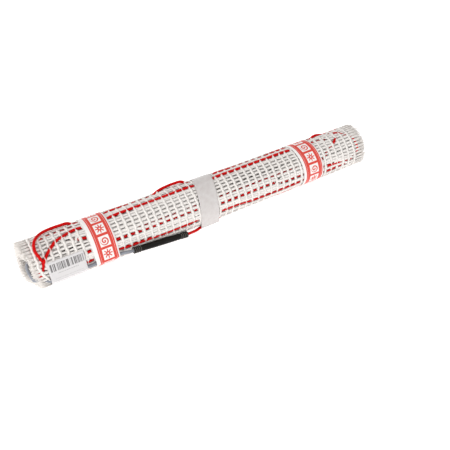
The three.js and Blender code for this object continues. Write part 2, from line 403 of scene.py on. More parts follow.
def yarn_material():
    """Coated glass fibre, with fine streaks along each yarn."""
    made, tree, shader = material("mesh_yarn", YARN_LIGHT, 0.62)
    g = Graph(tree)
    fibre, _, _ = g.read("fibre")
    streaks = g.noise(g.stretched(fibre, (0.35, 5.0, 1.0)), 1.0, 3.0)
    tree.links.new(g.ramp(streaks, (0.25, 0.6), (YARN_SHADE, YARN_LIGHT)), shader.inputs["Base Color"])
    g.bump(shader, streaks, 0.35, 0.0004)
    return made


def jacket_material(name, colour, roughness, mottle, gloss=0.5):
    """A smooth skin of one colour, faintly mottled by the share mottle."""
    made, tree, shader = material(name, colour, roughness, Specular_IOR_Level=gloss)
    g = Graph(tree)
    spots = g.noise(g.new("TexCoord").outputs["Object"], 120, 4)
    colours = [tuple(min(1, c * share) for c in colour) for share in (1 - mottle, 1 + mottle)]
    tree.links.new(g.ramp(spots, (0.3, 0.7), colours), shader.inputs["Base Color"])
    g.bump(shader, spots, 0.12, 0.0003)
    return made


YARN_SHADE, YARN_LIGHT = (0.67, 0.61, 0.56), (0.83, 0.80, 0.77)
YARN = yarn_material()
CABLE = jacket_material("cable_jacket", (0.52, 0.0, 0.0), 0.5, 0.12, 0.12)
LEAD = jacket_material("lead_jacket", (0.22, 0.23, 0.26), 0.45, 0.1, 0.3)
BORE_WALL = jacket_material("roll_bore", (0.62, 0.58, 0.53), 0.8, 0.15)
# The roll's inside is near-black brown: painted shade for the deep turns seen through the mesh's openings.
PAINTED_SHADE_CORE = jacket_material("roll_inside_painted_shade", (0.06, 0.040, 0.029), 0.9, 0.3)

# The printed tape's colours and the sizes of its print: half a square, half a bar, the pale line
# in each border, the star's rays and hub, and the swirl's turns.
TAPE_RED = (0.62, 0.046, 0.028)
TAPE_WHITE = (0.80, 0.78, 0.76)
HALF_SQUARE = 6.9
HALF_BAR = 1.7
LINE_FROM_EDGE = (2.2, 1.75)
LINE_SHARE = 0.45
RAY_WIDTH, STAR_REACH = 2.7, (1.0, 6.0)
COIL_PITCH, COIL_SHARE, COIL_REACH = 3.5, (0.24, 0.76), 5.7


def printed_tape_material(name, first_bar, period, offset, half_width):
    """White film with two red borders, red bars, and a star or a swirl in each square."""
    made, tree, shader = material(name, TAPE_RED, 0.4, Specular_IOR_Level=0.3)
    g = Graph(tree)
    place, round_way, across = g.read("print")
    cell = g.math("MULTIPLY_ADD", round_way, 1 / period, -first_bar / period)
    index = g.math("FLOOR", cell)
    local = g.math("MULTIPLY_ADD", g.math("FRACT", cell), period, -period / 2)
    side = g.math("ADD", across, -offset)
    off_middle = g.math("ABSOLUTE", side)
    border = g.between(off_middle, HALF_SQUARE, half_width)
    line = g.between(off_middle, *(half_width - inset for inset in LINE_FROM_EDGE))
    bar = g.both(g.above(g.math("ABSOLUTE", local), period / 2 - HALF_BAR),
                 g.below(off_middle, HALF_SQUARE + 0.1))
    reach = g.math("SQRT", g.math("ADD", g.both(side, side), g.both(local, local)))
    turn = g.math("ARCTAN2", side, local)
    ray = g.both(g.math("ABSOLUTE", g.math("SINE", g.math("MULTIPLY", turn, 4.0))), reach)
    star = g.both(g.below(ray, RAY_WIDTH, 0.8), g.between(reach, *STAR_REACH, 0.3))
    unwound = g.math("MULTIPLY", turn, 0.5 / math.pi)
    coil = g.math("FRACT", g.math("MULTIPLY_ADD", reach, 1 / COIL_PITCH, unwound))
    swirl = g.both(g.between(coil, *COIL_SHARE, 0.2), g.below(reach, COIL_REACH, 0.3))
    odd = g.math("ABSOLUTE", g.math("MODULO", index, 2.0))
    motif = g.math("ADD", g.both(star, g.math("SUBTRACT", 1.0, odd)), g.both(swirl, odd))
    red = g.either(g.either(border, bar), motif)
    red = g.math("MULTIPLY_ADD", line, -LINE_SHARE, red, clamp=True)
    mottle = g.math("MULTIPLY_ADD", g.noise(place, 0.55, 4.0), 2.2, -0.7, clamp=True)
    dark, pale = ([c * share + rise for c in TAPE_RED] for share, rise in ((0.9, 0), (1.12, 0.025)))
    ink = g.blend(mottle, dark, pale)
    tree.links.new(g.blend(red, TAPE_WHITE, ink), shader.inputs["Base Color"])
    g.bump(shader, g.noise(place, 0.25, 3.0), 0.35, 0.0006)
    return made


FILM_COLOURS = (0.60, 0.555, 0.54), (0.68, 0.65, 0.635)


def clear_tape_material():
    """Clear film, milky where it lies on the mesh."""
    made, tree, shader = material("clear_tape", (0.74, 0.69, 0.67), 0.3, Alpha=0.86)
    g = Graph(tree)
    place, _, _ = g.read("print")
    mottle = g.math("MULTIPLY_ADD", g.noise(place, 0.16, 3.0), 2.4, -0.7, clamp=True)
    tree.links.new(g.blend(mottle, *FILM_COLOURS), shader.inputs["Base Color"])
    g.bump(shader, g.noise(place, 0.3, 3.0), 0.4, 0.0008)
    return made


PAPER_WHITE, PAPER_INK = (0.63, 0.61, 0.61), (0.04, 0.034, 0.036)

# The label's block of bars, down and across it, and its rules: place, height, reach and strength.
BARS_DOWN, BARS_ACROSS = (3.0, 13.0), (-21.5, 22.0)
RULES = ((16.2, 1.1, 14, 0.35), (22.0, 0.7, 19, 0.22), (24.4, 0.7, 19, 0.22), (26.8, 0.7, 12, 0.22),
         (29.2, 0.7, 16, 0.18))


def paper_material():
    """White paper with plain bars and rules, and no letters."""
    made, tree, shader = material("label_paper", (0.8, 0.79, 0.79), 0.55)
    g = Graph(tree)
    place, down, across = g.read("print")
    bars = g.above(g.noise(across, 0.62, 3.0, "1D"), 0.49, 0.04)
    block = g.both(bars, g.both(g.between(down, *BARS_DOWN), g.between(across, *BARS_ACROSS)))
    ink = g.math("MULTIPLY", block, 0.86)
    for row, height, reach, share in RULES:
        dashes = g.above(g.noise(g.math("ADD", across, row * 7), 0.9, 2.0, "1D"), 0.46, 0.05)
        rule = g.both(g.between(down, row - height / 2, row + height / 2),
                      g.both(dashes, g.below(g.math("ABSOLUTE", across), reach)))
        ink = g.either(ink, g.math("MULTIPLY", rule, share))
    tree.links.new(g.blend(ink, PAPER_WHITE, PAPER_INK), shader.inputs["Base Color"])
    g.bump(shader, g.noise(place, 0.8, 4.0), 0.2, 0.0004)
    return made


# The sleeve's black, and the grey painted on it as highlight between the ribs and as sheen in streaks along
# the body.
SLEEVE_BLACK, SLEEVE_HIGHLIGHT_GREY = (0.006, 0.005, 0.004), (0.10, 0.092, 0.085)


def sleeve_material():
    """Black rubber, with painted highlight: grey between the ribs, and painted sheen in faint grey streaks
    along the body.
    """
    made, tree, shader = material("sleeve_rubber", SLEEVE_BLACK, 0.4, Specular_IOR_Level=0.12)
    g = Graph(tree)
    place, _, groove_highlight = g.read("print")
    lengthwise = g.stretched(place, (0.05, 1.0, 0.9))
    # Painted sheen: faint lengthwise grey streaks on the black body.
    streaks = g.math("MULTIPLY_ADD", g.noise(lengthwise, 1.0, 3.0), 2.2, -1.15, clamp=True)
    share = g.either(g.math("MULTIPLY", streaks, 0.3), groove_highlight)
    tree.links.new(g.blend(share, SLEEVE_BLACK, SLEEVE_HIGHLIGHT_GREY), shader.inputs["Base Color"])
    g.bump(shader, g.noise(lengthwise, 2.0, 3.0), 0.2, 0.0003)
    return made


SLEEVE = sleeve_material()
LEFT_PRINT = printed_tape_material("printed_tape_left", 55.0, 17.0, 1.5, 12.6)
RIGHT_PRINT = printed_tape_material("printed_tape_right", 58.2, 17.4, 1.2, 13.2)
CLEAR = clear_tape_material()
PAPER = paper_material()


# The joint sleeve's place, as in the part's source

SLEEVE_LENGTH = 80.0
SLEEVE_RADIUS = 4.0
SOCKET_DEPTH = 6.0
CLEARANCE = 0.3
FACET = 10.0
CORNER_RISE = ROLL_DIAMETER / 2 * (1 / math.cos(math.radians(FACET / 2)) - 1)
SLEEVE_LIFT = SLEEVE_RADIUS + CLEARANCE + CORNER_RISE
SLEEVE_X, SLEEVE_ANGLE, SLEEVE_SKEW = -78.0, 196.0, 10.0
sleeve_middle = on_roll(SLEEVE_X, SLEEVE_ANGLE, SLEEVE_LIFT)
along_roll = unit(on_roll(SLEEVE_X + 1, SLEEVE_ANGLE, SLEEVE_LIFT) - sleeve_middle)
round_roll = unit(on_roll(SLEEVE_X, SLEEVE_ANGLE + 1, SLEEVE_LIFT) - sleeve_middle)
skew = math.radians(SLEEVE_SKEW)
sleeve_axis = unit(along_roll * math.cos(skew) + round_roll * math.sin(skew))


def off_sleeve(end, beyond):
    """A point on the sleeve's axis, beyond its right (1) or left (-1) mouth."""
    return sleeve_middle + sleeve_axis * end * (SLEEVE_LENGTH / 2 + beyond)


# The tapes: x of the middle, width, and how far they slant

LEFT_TAPE = (-151.0, 32.0, 0.0)
MIDDLE_TAPE = (5.0, 27.0, 0.229)
RIGHT_TAPE = (160.5, 32.0, -0.09)
TAPES = (LEFT_TAPE, MIDDLE_TAPE, RIGHT_TAPE)


def tape_middle(tape, angle):
    """x of a tape's middle at an angle round the roll."""
    return tape[0] + tape[2] * radius_at(tape[0]) * np.cos(np.radians(angle))


# Cords

# Lifts of a cable's middle: just in the mesh, below a tape, deeper, prouder, and on the mesh.
FLUSH = -CABLE_RADIUS
UNDER = FLUSH - 0.9
SUNK = FLUSH - 0.7
PROUD = FLUSH + 0.7
ON_TOP = CABLE_RADIUS + CLEARANCE + CORNER_RISE


def dip(tape, angle, heading):
    """The cable's points where it passes below a tape."""
    near = tape[1] / 2 + 2
    stations = ((-near - 6, FLUSH), (-near, UNDER), (near, UNDER), (near + 6, FLUSH))
    return [on_roll(tape_middle(tape, angle) + heading * s, angle, lift) for s, lift in stations]


def along(*stations):
    """Points on the roll from x, angle and lift."""
    return [on_roll(x, angle, lift) for x, angle, lift in stations]


TAIL_ANGLE, TAIL_LIFT = 221.0, 1.8
tail_x = tape_middle(MIDDLE_TAPE, TAIL_ANGLE)
CABLE_POINTS = [
    off_sleeve(1, CLEARANCE - SOCKET_DEPTH), off_sleeve(1, 0), off_sleeve(1, 3),
    *along((-28, 216, 4.2), (-21, 219.5, 3.6), (tail_x - 15.5, TAIL_ANGLE, TAIL_LIFT + 0.7),
           (tail_x, TAIL_ANGLE, TAIL_LIFT - 0.3), (tail_x + 12, TAIL_ANGLE, -1.2),
           (28, 224, SUNK), (60, 225, SUNK)),
    *dip(RIGHT_TAPE, 225, 1),
    *along((222, 225, SUNK), (230, 222, SUNK), (235, 214.5, SUNK), (236.5, 206.5, SUNK),
           (235, 198.5, SUNK), (230, 191, SUNK), (222, 188, SUNK), (205, 188, SUNK)),
    *dip(RIGHT_TAPE, 189, -1),
    *along((100, 189, FLUSH), (64, 188, FLUSH), (44, 183, FLUSH)),
    *dip(MIDDLE_TAPE, 182, -1),
    *along((-61, 183, FLUSH), (-100, 181, FLUSH)),
    *dip(LEFT_TAPE, 178, -1),
    *along((-200, 178, SUNK), (-222, 177, -3.6), (-231, 173, -4.6), (-236, 165, -5.0),
           (-236, 155, -5.0), (-232, 145, -4.6), (-230.5, 135, -2.4), (-232, 126, 1.4),
           (-234, 112, ON_TOP), (-232.5, 100, ON_TOP), (-229, 88, ON_TOP), (-223, 77, ON_TOP),
           (-215, 68, ON_TOP), (-204, 63, ON_TOP), (-192, 63, ON_TOP), (-181.5, 65, ON_TOP - 0.4)),
    *dip(LEFT_TAPE, 66, 1),
    *along((-100, 64, SUNK), (-66, 62, SUNK), (-58, 61.5, 0.4), (-50, 60, ON_TOP),
           (-40, 59, ON_TOP + 0.8), (-30, 59, ON_TOP + 1.1), (-20, 60.5, ON_TOP + 0.4)),
    *dip(MIDDLE_TAPE, 63, 1),
    *along((60, 64, SUNK), (100, 64, SUNK)),
    *dip(RIGHT_TAPE, 62, 1),
    *along((187, 61.5, 0.2), (192, 61, 0.9), (197, 60.3, 0.3), (203, 59.3, -1.8), (210, 58, SUNK),
           (227, 54, SUNK), (234, 47, SUNK), (236, 38, SUNK), (234, 30, SUNK)),
]

# Runs of the cable that show through the mesh, below its outer turns.
TOP_RUN = along(
    (-238, 176, -3.0), (-233, 156, -2.4), (-228, 138, -1.4), (-222, 126, PROUD),
    (-216, 117, PROUD), (-206, 104, PROUD), (-196, 98.5, PROUD), (-187, 94, PROUD), (-177, 91, PROUD),
    (-165, 90.5, UNDER), (-137, 90.5, UNDER), (-120, 90, PROUD), (-71, 89, PROUD), (-14, 87.5, PROUD),
    (-8, 87, UNDER), (18, 86, UNDER), (24, 85.5, PROUD), (64, 84.8, PROUD), (136, 84, PROUD),
    (144, 83.5, UNDER), (178, 84, UNDER), (186, 86, -3.0), (200, 90, -3.5))
SECOND_RUN = along(
    (-238, 168, -4.2), (-225, 152, -4.4), (-200, 151, -4.2), (-186, 154, -3.2), (-176, 154.5, -2.6),
    (-168, 154, -2.7), (-158, 152, -4.0), (-131, 150, -3.0), (-111, 151, -3.0),
    (-101, 152, -3.2), (-16, 152, -3.2), (20, 160, -3.2), (99, 160.5, -3.2), (110, 167, -3.2),
    (139, 168, -3.2), (170, 170, -3.8), (184, 171, SUNK), (200, 172.5, -2.3), (211, 174.5, SUNK),
    (226, 176.5, SUNK), (235, 168, SUNK), (239.5, 155, SUNK), (240, 142, SUNK), (238.5, 123, SUNK),
    (231, 102, SUNK), (222, 82, -2.3), (212, 72, -3.0), (198, 67, -3.8), (150, 70, -4.4))
THIRD_RUN = along(
    (-204, 112, -5.8), (-190, 114, -4.0), (-178, 117, SUNK), (-166, 121, -3.8), (-131, 132, -5.0),
    (-100, 141, -4.6), (-71, 142.5, -4.2), (0, 142, -4.2), (134, 143, -4.2), (165, 148, -4.4),
    (178, 148, -3.4), (186.5, 139.5, SUNK), (191.5, 130, SUNK), (200.5, 121, SUNK), (212, 104, -2.2),
    (219, 93, -3.8), (225, 84, -6.0))
FOURTH_RUN = along(
    (-232, 100, -6.0), (-229, 92, -4.4), (-224, 84, -3.0), (-216, 78, SUNK), (-207, 79.5, SUNK),
    (-198, 78, SUNK), (-189, 79.5, SUNK), (-178, 79, -3.0), (-165, 78, -4.0), (-130, 76, -5.0))
INNER_RUNS = (TOP_RUN, SECOND_RUN, THIRD_RUN, FOURTH_RUN)


def fold(x, start, end, heading):
    """A half turn in the bore, between two of the lead's runs there."""
    middle, reach = (start + end) / 2, (start - end) / 2
    size = np.linalg.norm(reach)
    turns = [math.pi * i / 6 for i in range(7)]
    return [in_bore(x + heading * size * math.sin(t), *(middle + reach * math.cos(t))) for t in turns]


# The lead lies on the near side, dives through the mesh left of LEAD_DIVES, and lies in the bore in
# three runs.
LEAD_ANGLE, LEAD_LIFT = 187.5, 1.6
LEAD_DIVES = -227
MOUTH_RADIUS = 20
UPPER_RUN, NEAR_RUN, LOWER_RUN = np.array([8, 8]), np.array([-11, 0]), np.array([-1.5, -11.8])
LEAD_POINTS = [
    off_sleeve(-1, CLEARANCE - SOCKET_DEPTH), off_sleeve(-1, 0), off_sleeve(-1, 4),
    *along((-133, LEAD_ANGLE, LEAD_LIFT), (-169, LEAD_ANGLE, LEAD_LIFT), (-203, LEAD_ANGLE, LEAD_LIFT),
           (-226, LEAD_ANGLE, LEAD_LIFT), (-230, 187.5, -0.8), (-234, 188.5, -4.6), (-240.5, 191, -8.0),
           (-244.5, 196, -10.5)),
    in_bore(-245, -15.5, -8.0), in_bore(-246.5, -9.5, -2.5), in_bore(-246, -4, 3), in_bore(-242, 0.5, 7),
    in_bore(-238, 4.5, 8.5), in_bore(-228, 7.5, 8.3), in_bore(-210, *UPPER_RUN),
    *fold(222, UPPER_RUN, NEAR_RUN, 1), *fold(-215, NEAR_RUN, LOWER_RUN, -1),
    in_bore(238, *LOWER_RUN),
]


def cords():
    """Builds the cords and gives the cable's paths, for the mesh to make room."""
    cable, inner, lead = Strands(), Strands(), Strands()
    paths = [tube(cable, CABLE_POINTS, CABLE_RADIUS)]
    cable.build("heating_cable_outer", CABLE, "cable_jacket", ["heating_cable"])
    paths += [tube(inner, points, CABLE_RADIUS) for points in INNER_RUNS]
    inner.build("heating_cable_runs", CABLE, "cable_jacket")
    lead_path = tube(lead, LEAD_POINTS, LEAD_RADIUS)
    lead.build("cold_lead_jacket", LEAD, "lead_jacket", ["cold_lead"])
    off_axis = np.hypot(lead_path[:, 1], lead_path[:, 2] - radius_at(lead_path[:, 0]))
    dives = (lead_path[:, 0] < LEAD_DIVES) & (off_axis > MOUTH_RADIUS)
    return paths + [lead_path[dives]]


# The joint sleeve

RIB_WIDTH, RIB_GAP, RIB_DEPTH, RIB_RISE, RIBS = 1.4, 1.2, 0.7, 0.4, 4
RIB_BEVEL, GAP_BEVEL = 0.25, 0.15
BELLY = 0.3
CABLE_SOCKET, LEAD_SOCKET = 2.2, 2.7
SLEEVE_SIDES = 48


def sleeve_profile():
    """Stations along the sleeve and radii there, from its right socket's floor to the left one's."""
    half, top = SLEEVE_LENGTH / 2, SLEEVE_RADIUS + RIB_RISE
    end = []
    for i in range(RIBS):
        outer = half - i * (RIB_WIDTH + RIB_GAP)
        inner = outer - RIB_WIDTH
        end += [(outer, top - RIB_BEVEL), (outer - RIB_BEVEL, top), (inner + RIB_BEVEL, top),
                (inner, top - RIB_BEVEL), (inner - GAP_BEVEL, top - RIB_DEPTH),
                (inner - RIB_GAP + GAP_BEVEL, top - RIB_DEPTH)]
    edge = half - RIBS * (RIB_WIDTH + RIB_GAP)
    body = [(s, SLEEVE_RADIUS + BELLY * math.cos(math.pi * s / (2 * edge)))
            for s in np.linspace(edge, -edge, 17)]
    floor = half - SOCKET_DEPTH
    right = [(floor, 0.01), (floor, CABLE_SOCKET), (half, CABLE_SOCKET)]
    left = [(-half, LEAD_SOCKET), (-floor, LEAD_SOCKET), (-floor, 0.01)]
    return np.array(right + end + body + [(-s, r) for s, r in end[::-1]] + left), edge


def sleeve():
    """The ribbed sleeve, turned about its axis, with a note for its material of where grooves are, which it
    paints grey as highlight.
    """
    profile, edge = sleeve_profile()
    sides = SLEEVE_SIDES
    turn = np.arange(sides) * 2 * np.pi / sides
    up = unit(sleeve_middle - np.array([SLEEVE_X, 0, radius_at(SLEEVE_X)]))
    up = unit(up - sleeve_axis * up.dot(sleeve_axis))
    side = np.cross(sleeve_axis, up)
    ring = np.cos(turn)[:, None] * up + np.sin(turn)[:, None] * side
    points = sleeve_middle + profile[:, None, :1] * sleeve_axis + profile[:, None, 1:] * ring
    index = np.arange(points.shape[0] * sides).reshape(-1, sides)
    a, b = index[:-1], index[1:]
    quads = np.stack([a, b, np.roll(b, -1, 1), np.roll(a, -1, 1)], -1).reshape(-1, 4)
    s, r = profile[:, :1], profile[:, 1:]
    low = r < SLEEVE_RADIUS + RIB_RISE - RIB_DEPTH / 2
    # Where the grooves lie, which the material paints grey as highlight.
    groove_highlight = (np.abs(s) > edge) & low & (r > (CABLE_SOCKET + LEAD_SOCKET) / 2)
    values = (s, groove_highlight * 1.0, turn[None] * SLEEVE_RADIUS)
    place = np.stack([np.broadcast_to(v, (len(profile), sides)) for v in values], -1)
    build("sleeve", points, [quads, index[:1], index[-1:, ::-1]], SLEEVE,
          ["joint_sleeve"], {"print": place})


# Tapes and label

def drawn_tight(angle, radius, over_angle=None, over_lift=0.0, over_radius=0.0):
    """The radius of a sheet drawn tight round the roll, and over one cord on it."""
    angle = np.asarray(angle, float)
    if over_angle is None:
        return np.full_like(angle, radius)
    reach = radius + over_lift
    spread = math.acos((radius - over_radius) / reach)
    touch = math.atan2(over_radius * math.sin(spread), reach + over_radius * math.cos(spread))
    off = np.abs(np.radians((angle - over_angle + 180) % 360 - 180))
    line = radius / np.cos(np.clip(spread - off, 0, None))
    bend = reach * np.cos(off) + np.sqrt(np.clip(over_radius**2 - (reach * np.sin(off))**2, 0, None))
    return np.where(off < touch, bend, line)


def shell(name, outer, inner, paint, slot, node, print_places):
    """A thin sheet from two grids of points (round, across, 3), in the place of a node."""
    rows, columns, _ = outer.shape
    count = rows * columns
    index = np.arange(count).reshape(rows, columns)
    cur, nxt = index[:-1], index[1:]
    top = np.stack([cur[:, :-1], cur[:, 1:], nxt[:, 1:], nxt[:, :-1]], -1).reshape(-1, 4)
    rims = []
    for column, flip in ((0, 1), (columns - 1, -1)):
        rims.append(np.stack([cur[:, column], nxt[:, column], nxt[:, column] + count,
                              cur[:, column] + count], -1)[:, ::flip])
    for row, flip in ((0, -1), (rows - 1, 1)):
        rims.append(np.stack([index[row, :-1], index[row, 1:], index[row, 1:] + count,
                              index[row, :-1] + count], -1)[:, ::flip])
    points = np.concatenate([outer.reshape(-1, 3), inner.reshape(-1, 3)])
    faces = [top[:, ::-1], top + count, *(rim[:, ::-1] for rim in rims)]
    places = np.concatenate([print_places.reshape(-1, 3)] * 2)
    return build(name, points, faces, paint, [node], {"print": places})


# Where a tape starts, in degrees, how far it laps over its own start, and how it climbs there; its
# thickness, its height over a cord, and the share of its thickness that stays where it is pressed
# on the floor.
TAPE_START, TAPE_OVERLAP = -60.0, 14.0
TAPE_CLIMB, CLIMB_BEFORE = 0.28, 6.0
TAPE_THICKNESS = 0.25
TAPE_OVER_CORD = CLEARANCE + 0.4
PRESSED = 0.2


def wrinkle(angle, across):
    turn = np.radians(angle)
    return 0.05 * np.sin(turn * 7 + across * 0.2) + 0.04 * np.sin(turn * 16 - across * 0.5)


def tape(name, spec, paint, slot, node, over):
    """A tape drawn tight round the roll; over is the angle, lift and radius of a cord below it."""
    middle, width, _ = spec
    angles = np.linspace(TAPE_START, TAPE_START + 360 + TAPE_OVERLAP, 188)
    across = np.linspace(-width / 2, width / 2, 17)
    a, s = np.meshgrid(angles, across, indexing="ij")
    x = tape_middle(spec, a) + s
    made_for = radius_at(middle)
    climb = TAPE_CLIMB * np.clip((a - TAPE_START - 360) / CLIMB_BEFORE + 1, 0, 1)
    grids = []
    for depth in (0.0, TAPE_THICKNESS):
        cover = over and (over[0], over[1], over[2] + TAPE_OVER_CORD - depth)
        ring = drawn_tight(a, made_for - depth, *(cover or ())) + climb + wrinkle(a, s)
        sheet = on_roll(x, a, ring * radius_at(x) / made_for - radius_at(x))
        sheet[..., 2] = np.maximum(sheet[..., 2], depth * PRESSED)
        grids.append(sheet)
    place = np.stack([np.radians(a) * made_for, s, np.zeros_like(a)], -1)
    return shell(name, *grids, paint, slot, node, place)


LABEL_X, LABEL_WIDTH, LABEL_FROM, LABEL_TO = -203.0, 48.0, 144.0, 235.0
LABEL_TOP, LABEL_UNDERSIDE = CLEARANCE + 0.25, CLEARANCE + 0.1


def label():
    """The paper label, drawn tight over the lead."""
    angles = np.linspace(LABEL_FROM, LABEL_TO, 61)
    across = np.linspace(-LABEL_WIDTH / 2, LABEL_WIDTH / 2, 25)
    a, s = np.meshgrid(angles, across, indexing="ij")
    x, made_for = LABEL_X + s, radius_at(LABEL_X)
    grids = []
    for rise in (LABEL_TOP, LABEL_UNDERSIDE):
        ring = drawn_tight(a, made_for + rise, LEAD_ANGLE, LEAD_LIFT, LEAD_RADIUS + rise)
        grids.append(on_roll(x, a, ring * radius_at(x) / made_for - radius_at(x)))
    place = np.stack([np.radians(a - LABEL_FROM) * made_for, s, np.zeros_like(a)], -1)
    return shell("paper_label", *grids, PAPER, "label_paper", "label", place)


# The mesh

MEAN_RADIUS = ROLL_DIAMETER / 2

# How the yarns make room for a cable. An axial yarn within GAP_REACH of one is moved GAP_BESIDE away
# in its own turn, and GAP_ABOVE over a deeper one. AXIAL is the least heading of a run along the
# roll, and PROUD_LIFT that of a cable that lies on the mesh.
GAP_BESIDE, GAP_ABOVE, GAP_REACH = 4.0, 2.8, 7.0
NEAR_DEPTH, NEAR_ALONG = CABLE_RADIUS + 1.0, 4.0
YARN_CLEAR = CABLE_RADIUS + 0.35
AXIAL, PROUD_LIFT = 0.93, 0.6
SAME_SIDE_STATIONS = 9


class CableMap:
    """Finds the run of cable nearest to a place in the wound sheet, and makes room for it."""

    def __init__(self, paths):
        path = np.concatenate(paths)
        heading = np.concatenate([unit(np.gradient(p, axis=0))[:, 0] for p in paths])
        middle = radius_at(path[:, 0])
        beside, above = path[:, 1], path[:, 2] - middle
        angle = np.arctan2(above, beside) % (2 * np.pi)
        self.at = np.stack([path[:, 0], angle * MEAN_RADIUS, np.hypot(beside, above) - middle], -1)
        self.axial = np.abs(heading) > AXIAL
        self.layer = np.clip(np.round((-self.at[:, 2] - CABLE_RADIUS) / TURN_PITCH), 0, None)
        self.tree = KDTree(len(path))
        for i, point in enumerate(self.at):
            self.tree.insert(point, i)
        self.tree.balance()

    def nearest(self, x, angle, lift):
        """How far each place is from the nearest cable, along, round and outwards, and which it is."""
        x, angle, lift = np.broadcast_arrays(x, angle, lift)
        places = np.stack([x, np.radians(angle % 360) * MEAN_RADIUS, lift], -1).reshape(-1, 3)
        found = np.array([self.tree.find(p)[1] for p in places])
        off = (places - self.at[found]).reshape(*x.shape, 3)
        return off, found.reshape(x.shape)

    def part(self, x, angle, lift, turn):
        """Makes room in the axial yarns: they lie beside a run of their own turn, a little apart over
        a deeper one, and below a stretch of their own turn that crosses them. Gives the angle, the
        lift, and where a yarn is drawn thin over a cable."""
        off, found = self.nearest(x, angle, lift)
        layer, axial = self.layer[found], self.axial[found]
        near = (np.abs(off[..., 2]) < NEAR_DEPTH) & (np.abs(off[..., 0]) < NEAR_ALONG)
        beside = off[..., 1]
        gap = np.where(layer == turn, GAP_BESIDE, GAP_ABOVE)
        window = np.ones(min(SAME_SIDE_STATIONS, beside.shape[1]))
        side = np.sign(np.array([np.convolve(row, window, "same") for row in beside]))
        moved = side * (gap + np.abs(beside) * (1 - gap / GAP_REACH)) - beside
        aside = near & axial & (layer >= turn) & (np.abs(beside) < GAP_REACH)
        angle = angle + np.where(aside, np.degrees(moved / MEAN_RADIUS), 0)
        above = layer > turn
        lift, touching = self.clear(off, found, lift, np.where(above, 1, -1), ~aside)
        return angle, lift, touching & above

    def cross(self, x, angle, lift, over, turn):
        """Of a pair of yarns across the cable, one goes over it, drawn thin, and one under."""
        off, found = self.nearest(x, angle, lift)
        layer = self.layer[found]
        proud = self.at[found][..., 2] > PROUD_LIFT
        side = np.where(turn < layer, 1, np.where((turn > layer) | proud, -1, over))
        lift, touching = self.clear(off, found, lift, side, True)
        return lift, touching & (layer == turn)

    def clear(self, off, found, lift, side, where):
        """Lifts a yarn that would touch a cable over it (side 1) or below it (side -1)."""
        distance = np.hypot(off[..., 0], off[..., 1])
        touching = where & (distance < YARN_CLEAR) & (np.abs(off[..., 2]) < YARN_CLEAR)
        round_it = np.sqrt(np.clip(YARN_CLEAR**2 - distance**2, 0, None))
        pushed = self.at[found][..., 2] + side * round_it
        pushed = np.where(side > 0, np.maximum(pushed, lift), np.minimum(pushed, lift))
        return np.where(touching, pushed, lift), touching


def mesh_lift(turns):
    """How far the sheet's middle lies above the roll's surface, after so many turns inwards."""
    return OUTER_LIFT - TURN_PITCH * turns


WAIST_DEPTH, WAIST_REACH = 0.55, 4.0


def waist(x, angle):
    """The tapes draw the mesh in a little."""
    depth = np.zeros_like(x)
    for spec in TAPES:
        off = np.abs(x - tape_middle(spec, angle)) - spec[1] / 2
        depth = np.maximum(depth, np.clip(1 - off / WAIST_REACH, 0, 1))
    return depth * WAIST_DEPTH


# Where the proud stretches of the top run lift the sheet: x, angle, their reaches and the rise.
SWELLS = ((-36, 62, 24, 24, 1.2), (193, 62, 11, 20, 0.6))


def swell(x, angle):
    return sum(rise * np.exp(-((x - middle) / reach)**4 - ((angle % 360 - row) / height)**2)
               for middle, row, reach, height, rise in SWELLS)


def waviness(x, angle):
    """The sheet doesn't lie quite even."""
    turn = np.radians(angle)
    return 0.22 * np.sin(x / 23 + turn * 3) + 0.16 * np.sin(x / 9.7 - turn * 5)


# The left end is wound askew: it lies further in low on the near side.
SKEW_ANGLES = (0, 150, 170, 187, 202, 235, 300, 360)
SKEW_SHIFTS = (4, 0, 4, 11, 15, 15, 7, 4)


SKEW_FROM, SKEW_OVER, SKEW_MOST = -195, 45, 1.2


def askew(x, angle):
    shift = np.interp(np.asarray(angle) % 360, SKEW_ANGLES, SKEW_SHIFTS)
    return x + shift * np.clip((SKEW_FROM - x) / SKEW_OVER, 0, SKEW_MOST)


def spiral(first, last, per_turn):
    """Turns from the free edge inwards."""
    return np.linspace(first, last, int(round((last - first) * per_turn)) + 1)


# How far each turn's wefts are out of step with the first turn's, as shares of their pitch, and a
# slow change of that along the roll.
PHASES = np.array([0, 0.06, 0.3, 0.76])
PHASE_CHANGE, CHANGE_LENGTH, CHANGE_A_TURN = 0.14, 47, 2.1

# Rows of openings that lie in line through all the turns: angle, x, and half their length and width.
OPEN_ROWS = ((121.8, 82, 64, 6.2), (131, -188, 26, 6.0), (103.4, -202, 18, 6.0), (103.4, 66, 40, 5.4),
             (140.3, -208, 9, 6.0), (140.3, 60, 74, 5.4))
OPEN_ROW_PHASE = -0.05


def openness(x, angle):
    """1 in the open rows and 0 elsewhere."""
    share = np.zeros(np.broadcast(x, angle).shape)
    for row, middle, reach, height in OPEN_ROWS:
        near = np.exp(-((angle % 360 - row) / height)**4 - ((x - middle) / reach)**4)
        share = np.maximum(share, near)
    return share


def drift(turns, x, angle):
    """How far round the roll each weft lies from its even place, in mm."""
    turn = np.floor(turns + 1e-6).astype(int)
    change = np.sin(x / CHANGE_LENGTH + CHANGE_A_TURN * turn) * np.minimum(turn, 1)
    phase = PHASES[turn % len(PHASES)] + PHASE_CHANGE * change
    phase = phase + (OPEN_ROW_PHASE * turn - phase) * openness(x, angle)
    return phase * 2 * np.pi * MEAN_RADIUS / WEFTS_A_TURN


def place(turns, x, beside, rise):
    """A place in the sheet: turns inwards, x, mm round the roll from there, and mm outwards."""
    angle = FREE_EDGE - 360 * turns + np.degrees(beside / MEAN_RADIUS)
    return askew(x, angle), angle, mesh_lift(turns) + rise


